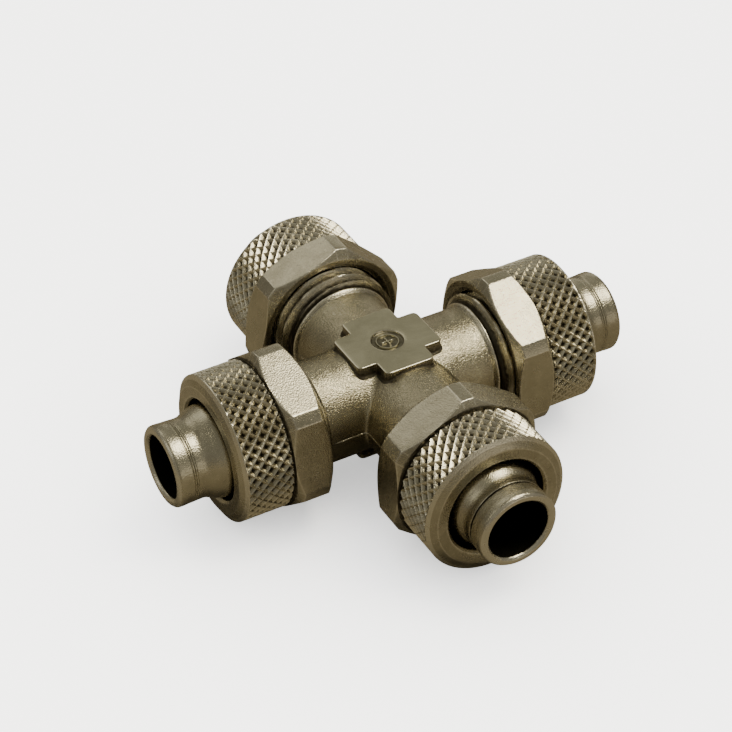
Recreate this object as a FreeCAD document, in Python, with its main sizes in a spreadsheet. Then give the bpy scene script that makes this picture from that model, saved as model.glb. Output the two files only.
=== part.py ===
import FreeCAD, Part
import os
import Sketcher

# Cross fitting for 8 x 6 mm hose: one forged body with four threaded spigots and four union nuts.
# Millimetres, +Z up, origin where the four arm axes cross, +X along the right-hand arm.

os.makedirs("parts", exist_ok=True)
doc = FreeCAD.newDocument("crossFitting")

sheet = doc.addObject("Spreadsheet::Sheet", "sizes")
values = {
    # body forging
    "armReach": 19.55,
    "neckRadius": 4.13,
    "shoulderRadius": 4.38,
    "shoulderStart": 7.15,
    "shoulderEnd": 7.57,
    "shoulderBreak": 0.08,
    "reliefRadius": 4.05,
    "reliefEnd": 8.0,
    "padHalfLength": 3.67,
    "padHalfWidth": 2.1,
    "padTop": 4.49,
    "padCornerRadius": 0.5,
    "recessRadius": 1.3,
    "recessDepth": 0.2,
    "recessMarkHalf": 0.62,
    "recessMarkWidth": 0.3,
    "recessMarkHeight": 0.12,
    "flashReach": 7.3,
    "flashProud": 0.12,
    "flashThickness": 0.2,
    # male thread, shown as rings of the true section
    "threadPitch": 1.0,
    "threadCrest": 4.93,
    "threadRoot": 4.39,
    "threadFlat": 0.16,
    "threadRootFlat": 0.22,
    # cone and spigot
    "coneStart": 13.4,
    "coneRootRadius": 4.3,
    "coneEnd": 14.0,
    "collarRadius": 3.72,
    "collarEnd": 15.6,
    "collarLip": 15.95,
    "collarLipRadius": 3.6,
    "flareMid": 16.35,
    "flareMidRadius": 3.43,
    "waistStart": 17.2,
    "waistRadius": 3.17,
    "waistEnd": 18.35,
    "lipStart": 18.9,
    "lipRadius": 3.27,
    "lipRound": 0.3,
    "boreRadius": 2.5,
    "mouthRound": 0.22,
    "grooveDepth": 0.06,
    "grooveAfterWaist": 0.66,
    "grooveHalfWidth": 0.06,
    # union nut, lengths counted from the body-side face
    "nutLength": 7.55,
    "nutHexFlats": 12.0,
    "nutHexCorner": 13.3,
    "nutBackFaceRadius": 5.9,
    "nutHexBack": 0.52,
    "nutHexFront": 2.68,
    "nutHexEnd": 3.16,
    "nutNeckRadius": 5.75,
    "nutNeckEnd": 3.2,
    "nutKnurlRadius": 5.92,
    "nutKnurlEnd": 7.1,
    "nutFaceRadius": 5.12,
    "nutBackBore": 5.5,
    "nutBackBoreDepth": 0.45,
    "nutThreadBore": 5.01,
    "nutGroove": 0.22,
    "nutThreadEnd": 5.4,
    "nutSeat": 6.35,
    "nutBore": 4.06,
    "nutMouth": 4.26,
    # where each nut stands: distance of its body-side face from the crossing, and its turn
    "nutRightSeat": 8.33,
    "nutLeftSeat": 8.03,
    "nutRearSeat": 9.28,
    "nutFrontSeat": 8.91,
    "nutRightTurn": 57.65,
    "nutLeftTurn": 10.12,
    "nutRearTurn": 12.0,
    "nutFrontTurn": 57.64,
}
for row, (name, value) in enumerate(values.items(), start=1):
    sheet.set("A%d" % row, name)
    sheet.set("B%d" % row, str(value))
    sheet.setAlias("B%d" % row, name)
doc.recompute()


def sheetValue(text):
    """Works out a sheet expression such as 'armReach - lipRound'."""
    total = 0.0
    sign = 1.0
    for word in text.split():
        if word in "+-":
            sign = 1.0 if word == "+" else -1.0
            continue
        factor = 1.0
        for piece in word.split("*"):
            factor *= values[piece] if piece in values else float(piece)
        total += sign * factor
        sign = 1.0
    return total


def sheetExpression(text):
    words = []
    for word in text.split():
        pieces = ["sizes." + p if p in values else p for p in word.split("*")]
        words.append("*".join(pieces))
    return " ".join(words)


def originPlane(body, role):
    for item in body.Origin.OriginFeatures:
        if item.Role == role:
            return item
    raise RuntimeError("no origin feature " + role)


def newSketch(body, name, plane):
    sketch = body.newObject("Sketcher::SketchObject", name)
    sketch.AttachmentSupport = [(originPlane(body, plane), "")]
    sketch.MapMode = "FlatFace"
    return sketch


def addPolygon(sketch, points):
    """Closed polygon whose corners are held by sheet expressions (along, out)."""
    spots = [FreeCAD.Vector(sheetValue(a), sheetValue(b), 0) for a, b in points]
    first = sketch.GeometryCount
    count = len(spots)
    for i in range(count):
        sketch.addGeometry(Part.LineSegment(spots[i], spots[(i + 1) % count]), False)
    for i in range(count):
        j = first + i
        k = first + (i + 1) % count
        sketch.addConstraint(Sketcher.Constraint("Coincident", j, 2, k, 1))
    for i, (a, b) in enumerate(points):
        j = first + i
        for text, spot, kind, axis in ((a, spots[i].x, "DistanceX", -2), (b, spots[i].y, "DistanceY", -1)):
            if abs(spot) < 1e-9:
                sketch.addConstraint(Sketcher.Constraint("PointOnObject", j, 1, axis))
                continue
            index = sketch.addConstraint(Sketcher.Constraint(kind, -1, 1, j, 1, spot))
            sketch.setExpression("Constraints[%d]" % index, sheetExpression(text))


def addCircle(sketch, radius):
    value = sheetValue(radius)
    j = sketch.addGeometry(Part.Circle(FreeCAD.Vector(0, 0, 0), FreeCAD.Vector(0, 0, 1), value), False)
    sketch.addConstraint(Sketcher.Constraint("Coincident", j, 3, -1, 1))
    index = sketch.addConstraint(Sketcher.Constraint("Radius", j, value))
    sketch.setExpression("Constraints[%d]" % index, sheetExpression(radius))


# ---------------------------------------------------------------- forged body
body = doc.addObject("PartDesign::Body", "crossBody")
body.Label = "cross_body"

armProfile = [
    ("0", "0"),
    ("0", "neckRadius"),
    ("shoulderStart", "neckRadius"),
    ("shoulderEnd - shoulderBreak", "shoulderRadius"),
    ("shoulderEnd", "shoulderRadius - shoulderBreak"),
    ("shoulderEnd", "reliefRadius"),
    ("reliefEnd", "reliefRadius"),
]
threadCount = 5
flank = "threadFlat*0.5"
for ring in range(threadCount):
    middle = "reliefEnd + %g*threadPitch" % (ring + 0.5)
    armProfile += [
        (middle + " - threadPitch*0.5 + threadRootFlat*0.5", "threadRoot"),
        (middle + " - " + flank, "threadCrest"),
        (middle + " + " + flank, "threadCrest"),
        (middle + " + threadPitch*0.5 - threadRootFlat*0.5", "threadRoot"),
    ]
armProfile += [
    ("coneStart", "coneRootRadius"),
    ("coneEnd", "collarRadius"),
    ("collarEnd", "collarRadius"),
    ("collarLip", "collarLipRadius"),
    ("flareMid", "flareMidRadius"),
    ("waistStart", "waistRadius"),
    ("waistStart + grooveAfterWaist - grooveHalfWidth", "waistRadius"),
    ("waistStart + grooveAfterWaist", "waistRadius - grooveDepth"),
    ("waistStart + grooveAfterWaist + grooveHalfWidth", "waistRadius"),
    ("waistEnd", "waistRadius"),
    ("lipStart", "lipRadius"),
    ("armReach - lipRound", "lipRadius"),
    ("armReach - lipRound*0.3", "lipRadius - lipRound*0.3"),
    ("armReach", "lipRadius - lipRound"),
    ("armReach", "0"),
]
armSketch = newSketch(body, "armProfile", "XZ_Plane")
addPolygon(armSketch, armProfile)
arm = body.newObject("PartDesign::Revolution", "arm")
arm.Profile = armSketch
arm.ReferenceAxis = (originPlane(body, "X_Axis"), [""])
arm.Angle = 360
body.Tip = arm
doc.recompute()

arms = body.newObject("PartDesign::PolarPattern", "fourArms")
arms.Originals = [arm]
arms.Axis = (originPlane(body, "Z_Axis"), [""])
arms.Angle = 360
arms.Occurrences = 4
body.Tip = arms
doc.recompute()

# stepped pad that stands proud above and below the crossing
padSketch = newSketch(body, "padOutline", "XY_Plane")
padCorners = []
for sx, sy, swap in ((1, 1, 0), (-1, 1, 1), (-1, -1, 0), (1, -1, 1)):
    far = ("padHalfLength", "padHalfWidth")
    inner = ("padHalfWidth", "padHalfWidth")
    long = (far, inner, far[::-1])
    for a, b in (long if not swap else long[::-1]):
        padCorners.append(("%d*" % sx + a, "%d*" % sy + b))
addPolygon(padSketch, padCorners)
pad = body.newObject("PartDesign::Pad", "crossPad")
pad.Profile = padSketch
pad.SideType = "Symmetric"
pad.setExpression("Length", "2*sizes.padTop")
body.Tip = pad
doc.recompute()

# parting-line flash left by the forging dies
flashSketch = newSketch(body, "flashOutline", "XY_Plane")
flashCorners = []
for sx, sy, swap in ((1, 1, 0), (-1, 1, 1), (-1, -1, 0), (1, -1, 1)):
    reach = ("%d*flashReach" % sx, "%d*flashReach" % sy)
    side = ("%d*neckRadius + %d*flashProud" % (sx, sx), "%d*neckRadius + %d*flashProud" % (sy, sy))
    long = ((reach[0], side[1]), (side[0], side[1]), (side[0], reach[1]))
    flashCorners += list(long if not swap else long[::-1])
addPolygon(flashSketch, flashCorners)
flash = body.newObject("PartDesign::Pad", "flash")
flash.Profile = flashSketch
flash.SideType = "Symmetric"
flash.setExpression("Length", "sizes.flashThickness")
body.Tip = flash
doc.recompute()

# flow bores, meeting at the crossing
boreSketch = newSketch(body, "boreProfile", "XZ_Plane")
addPolygon(boreSketch, [
    ("0", "0"),
    ("0", "boreRadius"),
    ("armReach - mouthRound", "boreRadius"),
    ("armReach - mouthRound*0.3", "boreRadius + mouthRound*0.3"),
    ("armReach", "boreRadius + mouthRound"),
    ("armReach", "0"),
])
bore = body.newObject("PartDesign::Groove", "bore")
bore.Profile = boreSketch
bore.ReferenceAxis = (originPlane(body, "X_Axis"), [""])
bore.Angle = 360
body.Tip = bore
doc.recompute()
bores = body.newObject("PartDesign::PolarPattern", "fourBores")
bores.Originals = [bore]
bores.Axis = (originPlane(body, "Z_Axis"), [""])
bores.Angle = 360
bores.Occurrences = 4
body.Tip = bores
doc.recompute()

# round sunk seal in the top pad, with a plain raised plus in it
recessSketch = newSketch(body, "recessOutline", "XY_Plane")
addCircle(recessSketch, "recessRadius")
recess = body.newObject("PartDesign::Pocket", "recess")
recess.Profile = recessSketch
recessSketch.setExpression("AttachmentOffset.Base.z", "sizes.padTop")
recess.setExpression("Length", "sizes.recessDepth")
body.Tip = recess
doc.recompute()

markSketch = newSketch(body, "markOutline", "XY_Plane")
markCorners = []
for sx, sy, swap in ((1, 1, 0), (-1, 1, 1), (-1, -1, 0), (1, -1, 1)):
    far = ("%d*recessMarkHalf" % sx, "%d*recessMarkHalf" % sy)
    near = ("%g*recessMarkWidth" % (0.5 * sx), "%g*recessMarkWidth" % (0.5 * sy))
    long = ((far[0], near[1]), (near[0], near[1]), (near[0], far[1]))
    markCorners += list(long if not swap else long[::-1])
addPolygon(markSketch, markCorners)
markSketch.setExpression("AttachmentOffset.Base.z", "sizes.padTop - sizes.recessDepth")
mark = body.newObject("PartDesign::Pad", "recessMark")
mark.Profile = markSketch
mark.setExpression("Length", "sizes.recessMarkHeight")
body.Tip = mark
doc.recompute()


def edgesWhere(shape, test):
    return ["Edge%d" % (i + 1) for i, edge in enumerate(shape.Edges) if test(edge)]


def isPadCorner(edge):
    ends = [v.Point for v in edge.Vertexes]
    if len(ends) != 2:
        return False
    upright = abs(ends[0].x - ends[1].x) < 1e-4 and abs(ends[0].y - ends[1].y) < 1e-4
    near, far = sorted((abs(ends[0].x), abs(ends[0].y)))
    onCorner = abs(near - values["padHalfWidth"]) < 1e-4 and abs(far - values["padHalfLength"]) < 1e-4
    return upright and onCorner


corners = body.newObject("PartDesign::Fillet", "padCorners")
corners.Base = (mark, edgesWhere(mark.Shape, isPadCorner))
corners.setExpression("Radius", "sizes.padCornerRadius")
body.Tip = corners
doc.recompute()

# ---------------------------------------------------------------- union nuts
nutProfile = [
    ("nutBackBore", "0"),
    ("nutBackFaceRadius", "0"),
    ("nutHexCorner*0.5", "nutHexBack"),
    ("nutHexCorner*0.5", "nutHexFront"),
    ("nutHexFlats*0.5", "nutHexEnd"),
    ("nutNeckRadius", "nutHexEnd"),
    ("nutNeckRadius", "nutNeckEnd"),
    ("nutKnurlRadius", "nutNeckEnd + nutKnurlRadius*1 - nutNeckRadius*1"),
    ("nutKnurlRadius", "nutKnurlEnd"),
    ("nutFaceRadius", "nutLength"),
    ("nutMouth", "nutLength"),
    ("nutBore", "nutLength + nutBore*1 - nutMouth*1"),
    ("nutBore", "nutSeat"),
    ("nutThreadBore", "nutThreadEnd"),
]
grooveCount = 4
for ring in range(grooveCount):
    middle = "nutThreadEnd - %g*threadPitch" % (ring + 0.6)
    nutProfile += [
        ("nutThreadBore", middle + " + threadPitch*0.2"),
        ("nutThreadBore + nutGroove", middle),
        ("nutThreadBore", middle + " - threadPitch*0.2"),
    ]
nutProfile += [
    ("nutThreadBore", "nutBackBoreDepth"),
]

# a hexagon's corner lies at its flats / sqrt(3), and each side reaches half of that to either hand
hexCorner = "nutHexFlats*0.57735"
hexSide = "nutHexFlats*0.288675"
hexHalf = "nutHexFlats*0.5"
hexCorners = [
    (hexCorner, "0"),
    (hexSide, hexHalf),
    ("-1*" + hexSide, hexHalf),
    ("-1*" + hexCorner, "0"),
    ("-1*" + hexSide, "-1*" + hexHalf),
    (hexSide, "-1*" + hexHalf),
]

nutPlaces = {
    "nut_right": ("nutRightSeat", "nutRightTurn", 0.0),
    "nut_rear": ("nutRearSeat", "nutRearTurn", 90.0),
    "nut_left": ("nutLeftSeat", "nutLeftTurn", 180.0),
    "nut_front": ("nutFrontSeat", "nutFrontTurn", 270.0),
}
nutBodies = []
for label, (seat, turn, heading) in nutPlaces.items():
    nut = doc.addObject("PartDesign::Body", label)
    nut.Label = label
    turned = newSketch(nut, label + "Profile", "XZ_Plane")
    addPolygon(turned, nutProfile)
    blank = nut.newObject("PartDesign::Revolution", label + "Blank")
    blank.Profile = turned
    blank.ReferenceAxis = (originPlane(nut, "Z_Axis"), [""])
    blank.Angle = 360
    nut.Tip = blank
    doc.recompute()

    hexSketch = newSketch(nut, label + "Hex", "XY_Plane")
    addCircle(hexSketch, "nutHexCorner")
    addPolygon(hexSketch, hexCorners)
    flats = nut.newObject("PartDesign::Pocket", label + "Flats")
    flats.Profile = hexSketch
    flats.Reversed = True
    flats.setExpression("Length", "sizes.nutHexEnd")
    nut.Tip = flats
    doc.recompute()

    outward = FreeCAD.Rotation(FreeCAD.Vector(0, 0, 1), heading) * FreeCAD.Vector(1, 0, 0)
    aim = FreeCAD.Rotation(FreeCAD.Vector(0, 0, 1), heading) * FreeCAD.Rotation(FreeCAD.Vector(0, 1, 0), 90)
    spin = FreeCAD.Rotation(FreeCAD.Vector(0, 0, 1), values[turn])
    nut.Placement = FreeCAD.Placement(outward * values[seat], aim * spin)
    nutBodies.append(nut)

doc.recompute()

for item in doc.Objects:
    for word in item.State:
        if word in ("Invalid", "Error"):
            raise RuntimeError(item.Name + " is " + word)

for piece in [body] + nutBodies:
    shape = piece.Shape
    if shape.isNull() or not shape.isValid():
        raise RuntimeError(piece.Label + " has a bad shape")
    if len(shape.Solids) != 1:
        raise RuntimeError(piece.Label + " is not one solid")
    shape.exportStep(os.path.join("parts", piece.Label + ".step"))
    box = shape.BoundBox
    print("%s volume %.1f mm3, box %.2f x %.2f x %.2f" % (
        piece.Label, shape.Volume, box.XLength, box.YLength, box.ZLength))
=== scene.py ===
import math
import bmesh
import bpy
import numpy as np
from mathutils import Matrix, Vector


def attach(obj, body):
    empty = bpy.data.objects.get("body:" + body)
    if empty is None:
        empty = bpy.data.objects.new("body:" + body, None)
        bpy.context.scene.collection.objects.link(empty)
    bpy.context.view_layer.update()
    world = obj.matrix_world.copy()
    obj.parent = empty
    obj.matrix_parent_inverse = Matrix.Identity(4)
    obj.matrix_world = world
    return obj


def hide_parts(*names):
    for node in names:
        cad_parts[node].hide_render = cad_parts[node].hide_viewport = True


# Nickel-plated cross fitting for air hose: a forged body and four union nuts.
# Shapes are worked out in millimetres and turned into metres when the mesh is written.

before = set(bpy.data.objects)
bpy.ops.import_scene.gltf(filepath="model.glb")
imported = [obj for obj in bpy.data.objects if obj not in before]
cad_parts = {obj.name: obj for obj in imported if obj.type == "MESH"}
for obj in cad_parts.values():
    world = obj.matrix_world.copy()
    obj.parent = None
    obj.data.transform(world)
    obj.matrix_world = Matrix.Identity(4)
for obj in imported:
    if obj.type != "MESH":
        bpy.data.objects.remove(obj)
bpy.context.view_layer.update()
print("frame loaded")

# outward axis, sideways axis (theta runs from it towards +Z), and whether that makes a right-hand set
arms = {
    "right": ((1, 0, 0), (0, 1, 0), 1),
    "rear": ((0, 1, 0), (1, 0, 0), -1),
    "left": ((-1, 0, 0), (0, 1, 0), -1),
    "front": ((0, -1, 0), (1, 0, 0), 1),
}


# A point at t along the arm, y sideways and z up.
def placeOnArm(arm, t, y, z):
    outward, side, hand = arms[arm]
    t, y, z = np.broadcast_arrays(t, y, z)
    return t[..., None] * np.array(outward) + y[..., None] * np.array(side) + z[..., None] * np.array((0, 0, 1.0))


# Two triangles for each cell of a grid that closes round in its columns, split along a to c where asked.
def gridTriangles(rows, columns, joinEnds=False, split=None):
    i = np.arange(rows if joinEnds else rows - 1)[:, None]
    j = np.arange(columns)[None, :]
    a = i * columns + j
    b = i * columns + (j + 1) % columns
    c = ((i + 1) % rows) * columns + (j + 1) % columns
    d = ((i + 1) % rows) * columns + j
    if split is None:
        split = np.ones(a.shape, bool)
    first = np.where(split[..., None], np.stack([a, b, c], -1), np.stack([a, b, d], -1))
    second = np.where(split[..., None], np.stack([a, c, d], -1), np.stack([b, c, d], -1))
    return np.stack([first, second], 2)


# Six times the volume inside a closed set of triangles: the sum of the corner triple products.
def signedVolume(points, triangles):
    p, q, r = (points[triangles[:, k]] for k in range(3))
    return np.einsum("ij,ij->i", p, np.cross(q, r)).sum()


# A grid of points becomes a shell: points, outward triangles and one finish number for each triangle.
def shell(grid, finish, joinEnds=False, split=None):
    rows, columns = grid.shape[:2]
    triangles = gridTriangles(rows, columns, joinEnds, split)
    finish = np.broadcast_to(np.asarray(finish)[..., None, None], triangles.shape[:3]).reshape(-1)
    triangles = triangles.reshape(-1, 3)
    points = grid.reshape(-1, 3)
    if signedVolume(points, triangles) < 0:
        triangles = triangles[:, ::-1]
    return points, triangles, finish


def meshPiece(name, shells, wearAndLight, materials, body, node, sharp, weld=0.0):
    points = np.concatenate([s[0] for s in shells]) * 0.001
    offsets = np.cumsum([0] + [len(s[0]) for s in shells[:-1]])
    triangles = np.concatenate([s[1] + o for s, o in zip(shells, offsets)])
    finish = np.concatenate([s[2] for s in shells])
    mesh = bpy.data.meshes.new(name)
    mesh.vertices.add(len(points))
    mesh.vertices.foreach_set("co", points.astype(np.float32).ravel())
    mesh.loops.add(triangles.size)
    mesh.loops.foreach_set("vertex_index", triangles.astype(np.int32).ravel())
    mesh.polygons.add(len(triangles))
    mesh.polygons.foreach_set("loop_start", np.arange(0, triangles.size, 3, dtype=np.int32))
    mesh.polygons.foreach_set("material_index", finish.astype(np.int32))
    mesh.update(calc_edges=True)
    # per-point value for worn plating and painted light: low values paint shade into recesses, high values paint a
    # highlight on edges
    layer = mesh.attributes.new("wearAndLight", "FLOAT", "POINT")
    layer.data.foreach_set("value", wearAndLight.astype(np.float32).ravel())
    if weld:
        work = bmesh.new()
        work.from_mesh(mesh)
        bmesh.ops.remove_doubles(work, verts=work.verts, dist=weld)
        bmesh.ops.dissolve_degenerate(work, dist=1e-8, edges=work.edges)
        work.to_mesh(mesh)
        work.free()
    mesh.polygons.foreach_set("use_smooth", np.ones(len(mesh.polygons), bool))
    mesh.set_sharp_from_angle(angle=math.radians(sharp))
    for material in materials:
        mesh.materials.append(material)
    piece = bpy.data.objects.new(name, mesh)
    bpy.context.scene.collection.objects.link(piece)
    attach(piece, body)
    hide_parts(node)
    print(name, "has", len(mesh.polygons), "triangles")
    return piece


# A polyline of (along, out, cut, divisions): each corner is cut back and bridged by a quadratic curve.
def roundedRows(corners, columns, bend=4, closed=False):
    spots = [np.stack([np.broadcast_to(c[0], columns), np.broadcast_to(c[1], columns)]).astype(float)
             for c in corners]
    rows = []
    for k, (spot, corner) in enumerate(zip(spots, corners)):
        cut, divisions = corner[2], corner[3]
        if not closed and k in (0, len(spots) - 1):
            cut = 0
        before = spots[k - 1] - spot
        after = spots[(k + 1) % len(spots)] - spot
        lengthBefore = np.maximum(np.hypot(*before), 1e-9)
        lengthAfter = np.maximum(np.hypot(*after), 1e-9)
        a = spot + before / lengthBefore * np.minimum(cut, lengthBefore * 0.45)
        b = spot + after / lengthAfter * np.minimum(cut, lengthAfter * 0.45)
        if rows:
            last = rows[-1]
            rows += [last + (a - last) * s / divisions for s in range(1, divisions)]
        if cut:
            rows += [(1 - s) ** 2 * a + 2 * s * (1 - s) * spot + s * s * b for s in np.linspace(0, 1, bend + 1)]
        else:
            rows.append(spot)
    rows = np.array(rows)
    return rows[:, 0], rows[:, 1]


def smoothStep(x):
    x = np.clip(x, 0, 1)
    return x * x * (3 - 2 * x)


def newMaterial(name):
    material = bpy.data.materials.new(name)
    material.use_nodes = True
    nodes = material.node_tree.nodes
    nodes.clear()
    output = nodes.new("ShaderNodeOutputMaterial")
    shader = nodes.new("ShaderNodeBsdfPrincipled")
    material.node_tree.links.new(shader.outputs[0], output.inputs[0])
    return material, shader


def addNode(material, kind, **settings):
    node = material.node_tree.nodes.new(kind)
    for key, value in settings.items():
        if key.startswith("in_"):
            node.inputs[key[3:].replace("_", " ")].default_value = value
        else:
            setattr(node, key, value)
    return node


def link(material, source, target):
    material.node_tree.links.new(source, target)


def noise(material, coordinates, scale, detail=4.0, roughness=0.6, distortion=0.0):
    node = addNode(material, "ShaderNodeTexNoise", in_Scale=scale, in_Detail=detail,
                   in_Roughness=roughness, in_Distortion=distortion)
    link(material, coordinates, node.inputs["Vector"])
    return node.outputs["Fac"]


def ramp(material, source, stops):
    node = addNode(material, "ShaderNodeValToRGB")
    elements = node.color_ramp.elements
    while len(elements) < len(stops):
        elements.new(0.5)
    for element, (place, value) in zip(elements, stops):
        element.position = place
        element.color = (*value, 1.0) if isinstance(value, tuple) else (value, value, value, 1.0)
    link(material, source, node.inputs["Fac"])
    return node.outputs["Color"]


def mixColours(material, factor, first, second, mode="MIX"):
    node = addNode(material, "ShaderNodeMix", data_type="RGBA", blend_type=mode)
    for socket, value in zip((node.inputs["Factor"], node.inputs[6], node.inputs[7]), (factor, first, second)):
        if isinstance(value, bpy.types.NodeSocket):
            link(material, value, socket)
        else:
            socket.default_value = value
    return node.outputs[2]


def calculate(material, operation, first, second=None, third=None):
    node = addNode(material, "ShaderNodeMath", operation=operation)
    for socket, value in zip(node.inputs, (first, second, third)):
        if value is None:
            continue
        if isinstance(value, bpy.types.NodeSocket):
            link(material, value, socket)
        else:
            socket.default_value = value
    return node.outputs[0]


def bump(material, height, strength, distance, normal=None):
    node = addNode(material, "ShaderNodeBump", in_Strength=strength, in_Distance=distance)
    link(material, height, node.inputs["Height"])
    if normal is not None:
        link(material, normal, node.inputs["Normal"])
    return node.outputs["Normal"]


# Nickel over brass: patchy tone, recesses rougher and darkened as painted shade, edges lightened as worn plating and
# painted highlight, grain, tool marks and scratches.
def nickel(look):
    material, shader = newMaterial(look["name"])
    coordinates = addNode(material, "ShaderNodeTexCoord").outputs["Object"]
    wearAndLight = addNode(material, "ShaderNodeAttribute", attribute_name="wearAndLight").outputs["Fac"]
    uneven = calculate(material, "SUBTRACT", noise(material, coordinates, look["unevenScale"], 4.0, 0.65), 0.5)
    wearAndLight = calculate(material, "MULTIPLY_ADD", uneven, look["uneven"], wearAndLight)
    patches = noise(material, coordinates, look["patchScale"], 5.0, 0.65, 0.4)
    tone = ramp(material, patches, [(0.32, look["dark"]), (0.52, look["middle"]), (0.72, look["light"])])
    specks = noise(material, coordinates, look["speckScale"], 3.0, 0.7)
    tone = mixColours(material, ramp(material, specks, [(0.58, 0.0), (0.72, look["specks"])]), tone, (*look["speckTone"], 1.0))
    # painted shade: points marked as recessed are darkened towards near-black, standing in for the shade in pits,
    # thread roots and corners
    recessed = ramp(material, wearAndLight, [(0.0, 1.0), (0.2, 0.95), (0.36, 0.5), (0.44, 0.0)])
    tone = mixColours(material, calculate(material, "MULTIPLY", recessed, look["recessShade"]), tone, (*look["recessShadeTone"], 1.0))
    # points marked high are lightened towards a pale tone: partly plating worn on edges, partly a painted highlight on
    # edges and crests
    rubAndHighlightMask = ramp(material, wearAndLight, [(0.6, 0.0), (0.85, 1.0)])
    tone = mixColours(material, calculate(material, "MULTIPLY", rubAndHighlightMask, look["rubAndLight"]), tone, (*look["rubHighlightTone"], 1.0))
    link(material, tone, shader.inputs["Base Color"])

    smudge = noise(material, coordinates, look["smudgeScale"], 6.0, 0.7)
    roughness = ramp(material, smudge, [(0.3, look["rough"][0]), (0.7, look["rough"][1])])
    roughness = mixColours(material, calculate(material, "MULTIPLY", recessed, 0.7), roughness, (0.45, 0.45, 0.45, 1.0))
    link(material, roughness, shader.inputs["Roughness"])
    shader.inputs["Metallic"].default_value = look["metallic"]

    grain = noise(material, coordinates, look["grainScale"], 2.0, 0.5)
    normal = bump(material, grain, look["grain"], look["grainDepth"])
    swell = noise(material, coordinates, look["swellScale"], 2.0, 0.4)
    normal = bump(material, swell, look["swell"], look["swellDepth"], normal)
    parts = addNode(material, "ShaderNodeSeparateXYZ")
    link(material, coordinates, parts.inputs[0])
    along = calculate(material, "MAXIMUM", calculate(material, "ABSOLUTE", parts.outputs[0]),
                      calculate(material, "ABSOLUTE", parts.outputs[1]))
    rings = addNode(material, "ShaderNodeTexNoise", noise_dimensions="1D", in_Scale=look["ringScale"], in_Detail=2.0)
    link(material, along, rings.inputs["W"])
    normal = bump(material, rings.outputs["Fac"], look["rings"], look["ringDepth"], normal)
    for turn, stretch in look["scratches"]:
        spun = addNode(material, "ShaderNodeMapping", in_Rotation=turn, in_Scale=stretch)
        link(material, coordinates, spun.inputs["Vector"])
        marks = ramp(material, noise(material, spun.outputs["Vector"], 1.0, 1.0, 0.3), [(0.69, 0.0), (0.73, 1.0)])
        normal = bump(material, marks, look["scratch"], 0.00002, normal)
    link(material, normal, shader.inputs["Normal"])
    return material


plain = {
    "metallic": 1.0, "patchScale": 260.0, "speckScale": 4600.0, "specks": 0.5, "smudgeScale": 900.0,
    "unevenScale": 2600.0, "uneven": 0.5,
    # the near-black tone here is painted shade for recesses, the pale tone worn plating with a painted highlight
    "speckTone": (0.84, 0.80, 0.67), "recessShadeTone": (0.030, 0.024, 0.016), "rubHighlightTone": (0.90, 0.86, 0.75),
    "swellScale": 420.0, "swellDepth": 0.0001, "ringScale": 9000.0, "ringDepth": 0.00001,
}
forgedLook = dict(
    plain, name="blastedNickel", dark=(0.37, 0.335, 0.24), middle=(0.48, 0.44, 0.325), light=(0.59, 0.55, 0.41),
    rough=(0.15, 0.25), grainScale=8500.0, grain=1.0, grainDepth=0.000055, swell=0.35, rings=0.0, recessShade=0.85, rubAndLight=0.6,
    scratches=[((0.3, 0.2, 0.5), (180, 9000, 9000))], scratch=0.2)
# the pad top: smoother than the forged sides, and toned much lighter as painted light standing in for the brighter
# reflection on its upward face
struckLitLook = dict(
    forgedLook, name="struckNickelLitTop", dark=(0.56, 0.53, 0.39), middle=(0.67, 0.635, 0.475), light=(0.78, 0.745, 0.57),
    rough=(0.12, 0.20), grain=0.12, swell=0.14, specks=0.12, scratch=0.12, uneven=0.3)
turnedLook = dict(
    plain, name="turnedNickel", dark=(0.43, 0.40, 0.305), middle=(0.53, 0.495, 0.39), light=(0.63, 0.595, 0.47),
    rough=(0.19, 0.30), grainScale=8000.0, grain=0.7, grainDepth=0.000035, swell=0.3, rings=0.15, recessShade=0.95, rubAndLight=0.6,
    scratches=[((0.2, 0.1, 0.9), (200, 9000, 9000)), ((0.5, 0.9, 2.2), (260, 12000, 12000))], scratch=0.1)
# painted shade: a near-black material for the bores and the nuts' inner faces, standing in for the darkness inside them
boreShadeLook = dict(
    plain, name="paintedBoreShade", dark=(0.010, 0.009, 0.007), middle=(0.016, 0.014, 0.010), light=(0.03, 0.026, 0.018),
    specks=0.0, rough=(0.55, 0.75), grainScale=5000.0, grain=0.3, grainDepth=0.00002, swell=0.1, rings=0.3,
    recessShade=0.5, rubAndLight=0.0, scratches=[], scratch=0.0)
forgedNickel = nickel(forgedLook)
turnedNickel = nickel(turnedLook)
paintedBoreShade = nickel(boreShadeLook)
finishes = [forgedNickel, turnedNickel, paintedBoreShade, nickel(struckLitLook)]
forged, turned, boreShade, struckLit = 0, 1, 2, 3
print("materials made")


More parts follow.
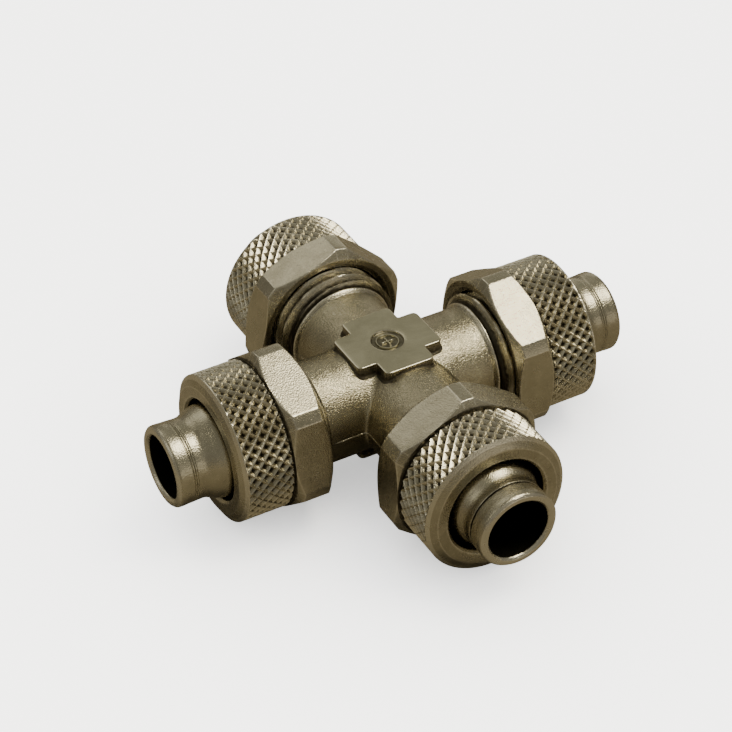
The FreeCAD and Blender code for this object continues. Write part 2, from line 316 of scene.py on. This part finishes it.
bodyShape = {
    "columns": 112,
    "neck": 4.13,              # radius of the four forged necks
    "crotch": 0.34,            # fillet where two necks meet
    "bore": 2.5,
    "shoulderAt": 7.15,
    "threadFrom": 7.72,
    "threadTo": 13.4,
    "threadStep": 0.1,
    "pitch": 1.0,
    "crest": 4.93,
    "root": 4.36,
    "crestPhase": {"right": 0.25, "rear": 0.72, "left": 0.4, "front": 0.5},   # crest place at theta = 90 degrees
    "reach": 19.55,
}
armCone = [    # along, out, rounding, divisions: end of thread, hose stop, collar, flare
    (13.4, 4.36, 0, 1), (14.0, 3.72, 0.12, 2), (15.6, 3.72, 0.3, 3), (15.95, 3.62, 0.15, 1), (16.4, 3.50, 0.12, 2),
    (16.95, 3.23, 0.25, 3), (17.3, 3.20, 0, 1),
]
armMouth = [    # lip, mouth and start of the bore
    (18.5, 3.24, 0, 1), (18.8, 3.27, 0.1, 1), (19.30, 3.27, 0.12, 1), (19.55, 3.04, 0.11, 1),
    (19.55, 2.70, 0.06, 1), (19.33, 2.5, 0.1, 1), (17.0, 2.5, 0, 3),
]


# Radius of the male thread: a 60 degree ridge round a crest line that climbs one pitch a turn.
def threadRadius(arm, t, theta):
    s = bodyShape
    hand = arms[arm][2]
    crestAt = s["crestPhase"][arm] + hand * s["pitch"] * (theta / (2 * np.pi) - 0.25)
    away = np.abs((t - crestAt + 0.5 * s["pitch"]) % s["pitch"] - 0.5 * s["pitch"])
    height = np.clip((0.40 - away) / (0.40 - 0.09), 0, 1)
    begun = smoothStep((t - 7.66) / 0.3)
    radius = s["root"] - 0.14 * (1 - begun) + (s["crest"] - s["root"]) * height * begun
    return np.minimum(radius, s["crest"] - np.clip(t - 12.85, 0, None) * 1.04)


# Radius of the spigot between flare and lip: nearly straight, with one cut groove or a few fine rings.
def spigotRadius(arm, t):
    straight = np.interp(t, [17.3, 18.5], [3.20, 3.24])
    if arm == "front":
        return straight - 0.13 * np.clip(1.6 - np.abs(t - 17.86) / 0.055, 0, 1)
    rings = np.cos((t - 18.02) * 2 * np.pi / 0.17) * smoothStep((t - 17.75) / 0.2) * smoothStep((18.4 - t) / 0.2)
    return straight - 0.03 * np.clip(rings, -0.3, 1)


def armGrid(arm):
    s = bodyShape
    count = s["columns"]
    theta = np.arange(count) * 2 * np.pi / count
    cosine, sine = np.cos(theta), np.sin(theta)
    halfWidth = s["neck"] * np.abs(cosine)
    fillet = np.minimum(s["crotch"], halfWidth)
    side = np.where(cosine < 0, -1.0, 1.0)
    blocks, wearAndLight = [], []
    # crotch: a quarter round between two necks, in each level plane
    for angle in np.radians(np.linspace(45, 90, 6)):
        t = halfWidth + fillet - fillet * math.cos(angle)
        y = side * (halfWidth + fillet - fillet * math.sin(angle))
        blocks.append(placeOnArm(arm, t, y, s["neck"] * sine))
        # painted highlight: the crotch fillet is marked above neutral so it reads as a light strip
        wearAndLight.append(0.64 - 0.14 * (angle - math.pi / 4) / (math.pi / 4) + 0 * theta)
    start = halfWidth + fillet
    for share in np.linspace(0, 1, 7)[1:]:
        t = start + (s["shoulderAt"] - start) * share
        blocks.append(placeOnArm(arm, t, side * halfWidth, s["neck"] * sine))
        wearAndLight.append(0.5 + 0 * theta)
    neckRows = len(blocks) - 1
    head = [(7.15, 4.13, 0, 1), (7.43, 4.37, 0.1, 2), (7.57, 4.37, 0.04, 1), (7.58, 4.12, 0.05, 1), (7.66, 4.12, 0.05, 1)]
    t, r = roundedRows(head, count, 3)
    # shoulder: painted shade at its foot, painted highlight on its raised edge
    rows = [(t[1:], r[1:], 0.2 + 0.6 * smoothStep((r[1:] - 4.13) / 0.24), turned)]
    threadRows = np.arange(s["threadFrom"], s["threadTo"] - 0.01, s["threadStep"])[:, None] + 0 * theta
    threadOut = threadRadius(arm, threadRows, theta)
    # thread: painted shade in the roots, painted highlight on the crests
    rows.append((threadRows, threadOut, 0.1 + 0.75 * (threadOut - s["root"]) / (s["crest"] - s["root"]), turned))
    t, r = roundedRows(armCone, count, 3)
    rows.append((t, r, 0.5 + 0 * r, turned))
    t = np.arange(17.34, 18.48, 0.04)[:, None] + 0 * theta
    r = spigotRadius(arm, t)
    # painted shade in the spigot's groove and fine rings
    rows.append((t, r, 0.5 - 5.0 * (np.interp(t, [17.3, 18.5], [3.20, 3.24]) - r), turned))
    t, r = roundedRows(armMouth, count, 3)
    # the lip is marked high: partly its rough worn rim, partly a painted highlight
    rows.append((t, r, 0.5 + 0.4 * smoothStep((t - 19.3) / 0.1), turned))
    for t, r, rubAndLight, kind in rows:
        blocks += list(placeOnArm(arm, t, r * cosine, r * sine))
        wearAndLight += list(np.broadcast_to(rubAndLight, t.shape))
    finish = [forged] * neckRows + [turned] * (len(blocks) - 1 - neckRows)
    inside = s["bore"] * np.abs(cosine)
    for share in np.linspace(0, 1, 8)[1:]:
        t = 17.0 + (inside - 17.0) * share
        blocks.append(placeOnArm(arm, t, s["bore"] * cosine, s["bore"] * sine))
        wearAndLight.append(0.5 + 0 * theta)
        finish.append(boreShade)
    finish = np.array(finish)
    finish[-11:] = boreShade    # the bore, from its mouth inwards, gets the near-black painted shade
    return np.array(blocks), finish, np.array(wearAndLight)


padShape = {
    "halfLength": 3.67, "halfWidth": 2.1, "top": 4.49, "outerRound": 0.5, "innerRound": 0.14,
    "recess": 1.3, "depth": 0.2, "ring": 0.86, "ringWidth": 0.11, "plus": 0.5, "plusWidth": 0.11, "raised": 0.13,
}


# Closed plus-shaped outline: twelve corners, each bridged by a quadratic curve.
def plusOutline():
    p = padShape
    a, b = p["halfLength"], p["halfWidth"]
    quarter = [(a, -b, p["outerRound"]), (a, b, p["outerRound"]), (b, b, p["innerRound"])]
    corners = []
    for turn in range(4):
        c, s = round(math.cos(turn * math.pi / 2)), round(math.sin(turn * math.pi / 2))
        corners += [(c * x - s * y, s * x + c * y, cut) for x, y, cut in quarter]
    outline = []
    for k, (x, y, cut) in enumerate(corners):
        here = np.array((x, y))
        before = np.array(corners[k - 1][:2]) - here
        after = np.array(corners[(k + 1) % 12][:2]) - here
        start = here + before / np.hypot(*before) * cut
        end = here + after / np.hypot(*after) * cut
        s = np.linspace(0, 1, 9)[:, None]
        outline.append((1 - s) ** 2 * start + 2 * s * (1 - s) * here + s * s * end)
        following = corners[(k + 1) % 12]
        stop = np.array(following[:2]) - after / np.hypot(*after) * following[2]
        s = np.linspace(0, 1, 12)[1:-1, None]
        outline.append(end + (stop - end) * s)
    return np.concatenate(outline)


# The pad: outline carried up a wall with a rounded foot and edge, across the top, and down into the sunk seal.
def padShell(up, sunk):
    p = padShape
    outline = plusOutline()
    along = np.roll(outline, -1, 0) - np.roll(outline, 1, 0)
    outwards = np.stack([along[:, 1], -along[:, 0]], 1) / np.hypot(along[:, 0], along[:, 1])[:, None]
    saddle = np.sqrt(bodyShape["neck"] ** 2 - np.minimum(np.abs(outline[:, 0]), np.abs(outline[:, 1])) ** 2)
    top = p["top"]
    rows = [(0 * outline, 3.0 + 0 * saddle)]
    # painted shade at the pad's foot, where its wall meets the necks
    rubAndLight = [0.1]
    for out, rise in ((-0.3, -0.4), (0.2, -0.12), (0.13, -0.01), (0.06, 0.05), (0.015, 0.12)):
        rows.append((outline + outwards * out, np.minimum(saddle + rise, top - 0.12)))
        rubAndLight.append(0.14)
    for out, drop in ((0.0, 0.1), (0.0, 0.06), (-0.015, 0.028), (-0.04, 0.009), (-0.08, 0.0)):
        rows.append((outline + outwards * out, top - drop + 0 * saddle))
        # painted highlight on the pad's top edge
        rubAndLight.append(0.9 if 0.005 < drop < 0.05 else 0.5)
    inner = outline - outwards * 0.08
    angle = np.arctan2(inner[:, 1], inner[:, 0])
    ray = np.stack([np.cos(angle), np.sin(angle)], 1)
    rim = p["recess"] + 0.05 if sunk else 0.6
    for share in np.linspace(0, 1, 7)[1:]:
        rows.append((inner + (ray * rim - inner) * share, top + 0 * saddle))
        rubAndLight.append(0.5)
    if sunk:
        floor = top - p["depth"]
        for radius, height in ((p["recess"] + 0.01, top - 0.012), (p["recess"] - 0.02, top - 0.05),
                               (p["recess"] - 0.05, floor + 0.05), (p["recess"] - 0.1, floor + 0.012)):
            rows.append((ray * radius, height + 0 * saddle))
            # painted highlight on the seal's rim, painted shade at the foot of its wall
            rubAndLight.append(0.85 if height > floor + 0.1 else 0.15)
        for radius in np.linspace(p["recess"] - 0.14, 0, 44):
            spot = ray * radius
            ringGap = np.abs(radius - p["ring"]) - p["ringWidth"] * 0.5
            near, far = np.sort(np.abs(spot), 1).T
            plusGap = np.maximum(near - p["plusWidth"] * 0.5, far - p["plus"])
            gap = np.minimum(ringGap, plusGap)
            rise = 1 - smoothStep(gap / 0.045 + 0.5)
            rows.append((spot, floor + p["raised"] * rise))
            # painted shade on the seal's floor, painted highlight on the raised ring and cross
            rubAndLight.append(0.22 + 0.55 * rise)
    else:
        rows.append((0 * outline, top + 0 * saddle))
        rubAndLight.append(0.5)
    grid = np.array([np.concatenate([flat, height[:, None]], 1) for flat, height in rows])
    grid[..., 2] *= up
    finish = np.full(len(grid) - 1, struckLit)
    finish[:7] = forged
    wearAndLight = np.array([np.broadcast_to(value, len(outline)) for value in rubAndLight])
    return shell(grid, finish), wearAndLight.ravel()


# Thin ridge on the parting line: a small triangle carried along a crotch in the level plane.
def flashShell(turn):
    wide, out = 0.09, 0.05
    half, round_ = bodyShape["neck"], bodyShape["crotch"]
    s = np.linspace(0, 1, 25)
    run = 7.1 - half - round_
    first = np.stack([7.1 - run * s[:-1], half + 0 * s[:-1]], 1)
    angle = np.linspace(0, np.pi / 2, 13)
    bendPart = np.stack([half + round_ - round_ * np.sin(angle), half + round_ - round_ * np.cos(angle)], 1)
    path = np.concatenate([first, bendPart, first[::-1, ::-1]])
    along = np.gradient(path, axis=0)
    outwards = np.stack([along[:, 1], -along[:, 0]], 1) / np.hypot(along[:, 0], along[:, 1])[:, None]
    outwards *= np.sign((outwards * np.array((1.0, 1.0))).sum(1))[:, None]
    size = smoothStep(np.minimum(np.arange(len(path)), np.arange(len(path))[::-1]) / 6)
    ripple = 1 + 0.25 * np.sin(np.arange(len(path)) * 1.7) * np.cos(np.arange(len(path)) * 0.61)
    section = np.array([(-0.2, -1.0), (0.0, -0.8), (0.8, -0.25), (1.0, 0.0), (0.8, 0.25), (0.0, 0.8), (-0.2, 1.0)])
    push = section[:, 0][None, :] * out * (size * ripple)[:, None]
    lift = section[:, 1][None, :] * wide * size[:, None]
    flat = path[:, None, :] + outwards[:, None, :] * push[..., None]
    grid = np.concatenate([flat, lift[..., None]], 2)
    c, s = round(math.cos(turn * math.pi / 2)), round(math.sin(turn * math.pi / 2))
    grid = np.stack([c * grid[..., 0] - s * grid[..., 1], s * grid[..., 0] + c * grid[..., 1], grid[..., 2]], -1)
    # the flash is marked high: a painted highlight along its ridge
    return shell(grid, np.full(len(grid) - 1, forged)), np.full(grid.shape[0] * grid.shape[1], 0.8)


def buildBody():
    points, triangles, finish, wearAndLightLists = [], [], [], []
    start = 0
    for arm in arms:
        grid, kinds, wearAndLight = armGrid(arm)
        rows, columns = grid.shape[:2]
        part = gridTriangles(rows, columns)
        if arms[arm][2] > 0:
            part = part[..., ::-1]
        points.append(grid.reshape(-1, 3))
        triangles.append(part.reshape(-1, 3) + start)
        finish.append(np.broadcast_to(kinds[:, None, None], part.shape[:3]).reshape(-1))
        wearAndLightLists.append(wearAndLight.ravel())
        start += rows * columns
    points, triangles, finish = np.concatenate(points), np.concatenate(triangles), np.concatenate(finish)
    if signedVolume(points, triangles) < 0:
        triangles = triangles[:, ::-1]
    shells = [(points, triangles, finish)]
    for extra, wearAndLight in [padShell(1, True), padShell(-1, False)] + [flashShell(turn) for turn in range(4)]:
        shells.append(extra)
        wearAndLightLists.append(wearAndLight)
    return meshPiece("crossBody", shells, np.concatenate(wearAndLightLists), finishes, "cross", "cross_body",
                     32, 2e-7)


body = buildBody()
print("forged body made")


nutShape = {
    "starts": 38,              # knurl starts each way
    "perStart": 12,            # columns for each start
    "knurlPeriod": 0.965,      # along the axis
    "knurlDepth": 0.39,
    "flats": 6.0,
    "corner": 6.65,
    "back": 5.9,
    "threadBore": 5.01,
    "knurl": 5.92,
    "neck": 5.74,
    "length": 7.55,
}
nutPlaces = {    # distance of the back face from the crossing, angle of one flat, knurl phase along and round
    "right": {"seat": 8.33, "flat": 117.65, "phase": (0.1, 2.0)},
    "rear": {"seat": 9.28, "flat": 108.0, "phase": (0.3, 1.0)},
    "left": {"seat": 8.03, "flat": 109.88, "phase": (0.2, 3.0)},
    "front": {"seat": 8.91, "flat": 117.64, "phase": (0.9, 4.95)},
}


def nutGrid(arm):
    n = nutShape
    place = nutPlaces[arm]
    count = n["starts"] * n["perStart"]
    hand = arms[arm][2]
    theta = np.arange(count) * 2 * np.pi / count + math.radians(place["phase"][1])
    # columns slide a little so that one lies on each crease of the hexagon
    land = math.acos(n["flats"] / n["corner"])
    flat = math.radians(place["flat"])
    creases = np.concatenate([flat + land + np.arange(6) * np.pi / 3, flat - land + np.arange(6) * np.pi / 3])
    step = 2 * np.pi / count
    nearest = np.round((creases - theta[0]) / step)
    miss = creases - (theta[0] + nearest * step)
    apart = (np.arange(count)[:, None] - nearest[None, :] + count / 2) % count - count / 2
    hexTheta = theta + (miss[None, :] * np.clip(1 - np.abs(apart) / 4, 0, 1)).sum(1)
    local = (hexTheta - flat + np.pi / 6) % (np.pi / 3) - np.pi / 6
    outer = np.minimum(n["corner"], n["flats"] / np.cos(local))
    backAt = 0.693 * (outer - n["back"])
    frontAt = 2.68 + 0.738 * (n["corner"] - outer)
    corners = [
        (0.45, n["threadBore"], 0, 1), (0.0, 5.45, 0.05, 1), (0.0, n["back"], 0.05, 2), (backAt, outer, 0.07, 3),
        (frontAt, outer, 0.07, 6), (3.17, 6.0, 0.03, 3), (3.19, n["neck"], 0.03, 1), (3.22, n["neck"], 0, 1),
    ]
    z, r = roundedRows(corners, count)
    angles = np.broadcast_to(hexTheta, z.shape).copy()
    angles[-6:] = theta
    crease = np.clip(1 - np.abs(apart).min(1) / 1.2, 0, 1)
    turnedEdge = np.maximum(np.exp(-((z - backAt) / 0.07) ** 2), np.exp(-((z - frontAt) / 0.07) ** 2))
    # painted highlight on the hexagon creases and turned edges
    rubAndLight = 0.5 + 0.32 * np.maximum(crease * (r > n["back"] + 0.01) * (z < 3.1), turnedEdge)
    # painted shade on the narrow neck between hexagon and knurl
    rubAndLight = np.where(z > 3.15, 0.2, rubAndLight)
    parts = [(z, r, angles, rubAndLight, turned)]

    # knurl: ridges along two crossing sets of 45 degree helices, square pits between them
    sub = n["knurlPeriod"] / n["perStart"]
    offset = place["phase"][0]
    zKnurl = offset + np.arange(math.ceil((3.25 - offset) / sub), math.floor((7.32 - offset) / sub) + 1) * sub
    q = (zKnurl - offset)[:, None] / n["knurlPeriod"]
    p = (np.arange(count) / n["perStart"])[None, :]
    first = np.abs((p + q + 0.5) % 1 - 0.5)
    second = np.abs((p - q + 0.5) % 1 - 0.5)
    depth = np.clip(np.minimum(first, second) - 0.025, 0, None) / 0.475
    depth = np.minimum(depth, 0.93)
    window = (smoothStep((zKnurl - 3.24) / 0.12) * smoothStep((7.04 - zKnurl) / 0.12))[:, None]
    turnedRadius = np.interp(zKnurl, [3.22, 3.38, 7.1, 7.55], [n["neck"], n["knurl"], n["knurl"], 5.12])[:, None]
    rKnurl = np.minimum(turnedRadius, n["knurl"] - n["knurlDepth"] * depth * window)
    zRows = np.broadcast_to(zKnurl[:, None], rKnurl.shape)
    # knurl: painted highlight on the ridge crests, painted shade in the pits
    parts.append((zRows, rKnurl, np.broadcast_to(theta, rKnurl.shape), 0.86 - 0.86 * depth * window, turned))
    lastZ = zKnurl[-1]
    lastR = np.interp(lastZ, [7.1, 7.55], [n["knurl"], 5.12])
    corners = [
        (lastZ + 0.03, np.interp(lastZ + 0.03, [7.1, 7.55], [n["knurl"], 5.12]), 0, 1), (7.55, 5.12, 0.09, 2),
        (7.55, 4.26, 0.05, 4), (7.35, 4.06, 0.05, 1), (6.35, 4.06, 0.1, 3), (5.4, n["threadBore"], 0, 2),
    ]
    z, r = roundedRows(corners, count)
    # painted highlight on the two edges of the front face
    rubAndLight = 0.5 + 0.35 * np.maximum(np.exp(-((z - 7.55) / 0.03) ** 2 - ((r - 5.12) / 0.08) ** 2),
                                  np.exp(-((z - 7.55) / 0.03) ** 2 - ((r - 4.26) / 0.08) ** 2))
    parts.append((z, r, np.broadcast_to(theta, z.shape), rubAndLight, turned))
    zThread = np.arange(5.32, 0.5, -0.16)[:, None] + 0 * theta
    swing = (zThread - hand * theta / (2 * np.pi)) % 1.0
    rThread = n["threadBore"] + 0.32 * np.clip(1 - np.abs(swing - 0.5) / 0.38, 0, 1) * smoothStep((5.3 - zThread) / 0.3)
    # the nut's inner thread also gets the near-black painted shade
    parts.append((zThread, rThread, np.broadcast_to(theta, zThread.shape), 0.5 + 0 * zThread, boreShade))

    z = np.concatenate([part[0] for part in parts])
    r = np.concatenate([part[1] for part in parts])
    angles = np.concatenate([part[2] for part in parts])
    wearAndLight = np.concatenate([part[3] for part in parts])
    finish = np.concatenate([np.full(len(part[0]), part[4]) for part in parts])
    before = len(parts[0][0])
    knurlRows = slice(before, before + len(zKnurl) - 1)
    split = np.ones(z.shape, bool)
    middleP = p + 0.5 / n["perStart"]
    middleQ = q[:-1] + 0.5 / n["perStart"]
    nearFirst = np.abs((middleP + middleQ + 0.5) % 1 - 0.5)
    nearSecond = np.abs((middleP - middleQ + 0.5) % 1 - 0.5)
    split[knurlRows] = nearSecond < nearFirst
    grid = placeOnArm(arm, place["seat"] + z, r * np.cos(angles), r * np.sin(angles))
    # the seat cone and plain bore face inwards and get the near-black painted shade
    inner = before + len(zKnurl) + len(parts[2][0]) - 9
    finish[inner:] = boreShade
    return grid, finish, split, wearAndLight


def buildNut(arm):
    grid, finish, split, wearAndLight = nutGrid(arm)
    piece = shell(grid, finish, True, split)
    return meshPiece("unionNut" + arm.capitalize(), [piece], wearAndLight, finishes, "union_nut_" + arm,
                     "nut_" + arm, 34)


nuts = [buildNut(arm) for arm in arms]
print("union nuts made")

stageLook = {
    "floorTone": (0.95, 0.95, 0.945), "floorGlow": 4.2, "cardTone": (0.32, 0.29, 0.235), "lowest": -6.66,
    "camera": {"azimuth": -28.828, "elevation": 38.763, "roll": -0.882, "distance": 205.284, "lens": 129.79},
    "shift": (-0.03014, 0.02685),
}


def buildFloor(name, tone, glow, lift):
    material, shader = newMaterial(name)
    coordinates = addNode(material, "ShaderNodeTexCoord").outputs["Object"]
    mottled = noise(material, coordinates, 60.0, 3.0, 0.5)
    soft = tuple(0.985 * c for c in tone)
    link(material, ramp(material, mottled, [(0.3, soft), (0.7, tone)]), shader.inputs["Base Color"])
    shader.inputs["Roughness"].default_value = 0.9
    shader.inputs["Specular IOR Level"].default_value = 0.0
    shader.inputs["Emission Color"].default_value = (*tone, 1.0)
    shade = addNode(material, "ShaderNodeAmbientOcclusion", in_Distance=0.02)    # painted contact shadow: the glow is dimmed by ambient occlusion near the fitting
    link(material, ramp(material, shade.outputs["AO"], [(0.0, 0.1 * glow), (1.0, glow)]),
         shader.inputs["Emission Strength"])
    mesh = bpy.data.meshes.new(name)
    z = (stageLook["lowest"] + lift) * 0.001
    side = 1.5
    mesh.from_pydata([(-side, -side, z), (side, -side, z), (side, side, z), (-side, side, z)], [], [(0, 1, 2, 3)])
    mesh.materials.append(material)
    floor = bpy.data.objects.new(name, mesh)
    bpy.context.scene.collection.objects.link(floor)
    return floor


# Soft boxes far away: each adds its tone where the direction lies within its angle, with a soft edge.
studioLook = {
    "below": (0.20, 0.18, 0.14), "level": (0.18, 0.165, 0.13), "above": (0.235, 0.225, 0.18),
    "boxes": [    # towards, half angle, edge, tone
        ((0.42, -0.17, 0.90), 12.0, 7.0, (7.6, 7.0, 5.3)),
        ((-0.12, 0.73, 0.67), 9.0, 15.0, (0.66, 0.63, 0.52)),
        ((0.42, 0.66, 0.62), 8.0, 12.0, (0.10, 0.10, 0.08)),
        ((-0.75, 0.10, 0.62), 10.0, 10.0, (0.6, 0.57, 0.47)),
        ((0.35, -0.93, -0.02), 15.0, 11.0, (0.5, 0.45, 0.35)),
        ((0.60, 0.80, 0.02), 13.0, 10.0, (0.6, 0.57, 0.46)),
    ],
}


def buildWorld():
    world = bpy.data.worlds.new("studio")
    bpy.context.scene.world = world
    world.use_nodes = True
    nodes, links = world.node_tree.nodes, world.node_tree.links
    nodes.clear()
    output = nodes.new("ShaderNodeOutputWorld")
    background = nodes.new("ShaderNodeBackground")
    coordinates = nodes.new("ShaderNodeTexCoord").outputs["Generated"]
    parts = nodes.new("ShaderNodeSeparateXYZ")
    links.new(coordinates, parts.inputs[0])
    rise = nodes.new("ShaderNodeMapRange")
    rise.inputs["From Min"].default_value = -1.0
    links.new(parts.outputs[2], rise.inputs["Value"])
    sky = nodes.new("ShaderNodeValToRGB")
    sky.color_ramp.elements.new(0.5)
    for element, place, key in zip(sky.color_ramp.elements, (0.3, 0.52, 0.85), ("below", "level", "above")):
        element.position = place
        element.color = (*studioLook[key], 1.0)
    links.new(rise.outputs[0], sky.inputs["Fac"])
    total = sky.outputs["Color"]
    for towards, half, edge, tone in studioLook["boxes"]:
        dot = nodes.new("ShaderNodeVectorMath")
        dot.operation = "DOT_PRODUCT"
        dot.inputs[1].default_value = Vector(towards).normalized()
        links.new(coordinates, dot.inputs[0])
        reach = nodes.new("ShaderNodeMapRange")
        reach.interpolation_type = "SMOOTHSTEP"
        reach.inputs["From Min"].default_value = math.cos(math.radians(half + edge))
        reach.inputs["From Max"].default_value = math.cos(math.radians(half))
        links.new(dot.outputs["Value"], reach.inputs["Value"])
        add = nodes.new("ShaderNodeMix")
        add.data_type = "RGBA"
        add.blend_type = "ADD"
        add.clamp_result = False
        links.new(reach.outputs[0], add.inputs["Factor"])
        links.new(total, add.inputs[6])
        add.inputs[7].default_value = (*tone, 1.0)
        total = add.outputs[2]
    links.new(total, background.inputs["Color"])
    links.new(background.outputs[0], output.inputs["Surface"])


def buildCamera():
    c = stageLook["camera"]
    az, el, roll = (math.radians(c[k]) for k in ("azimuth", "elevation", "roll"))
    back = Vector((math.sin(az) * math.cos(el), -math.cos(az) * math.cos(el), math.sin(el)))
    right = Vector((math.cos(az), math.sin(az), 0))
    up = back.cross(right)
    right2 = math.cos(roll) * right + math.sin(roll) * up
    up2 = -math.sin(roll) * right + math.cos(roll) * up
    data = bpy.data.cameras.new("camera")
    data.lens = c["lens"]
    data.sensor_width = 36.0
    data.shift_x, data.shift_y = stageLook["shift"]
    data.clip_start = 0.01
    camera = bpy.data.objects.new("camera", data)
    turn = Matrix((right2, up2, back)).transposed().to_4x4()
    camera.matrix_world = Matrix.Translation(back * c["distance"] * 0.001) @ turn
    bpy.context.scene.collection.objects.link(camera)
    bpy.context.scene.camera = camera


floor = buildFloor("paleFloor", stageLook["floorTone"], stageLook["floorGlow"], 0.0)
floor.visible_glossy = False
floor.visible_diffuse = False
card = buildFloor("reflectionCard", stageLook["cardTone"], 0.0, 0.01)    # only seen mirrored in the metal
card.visible_camera = False
card.visible_diffuse = False
card.visible_shadow = False
buildWorld()
buildCamera()
print("stage, light and camera made")
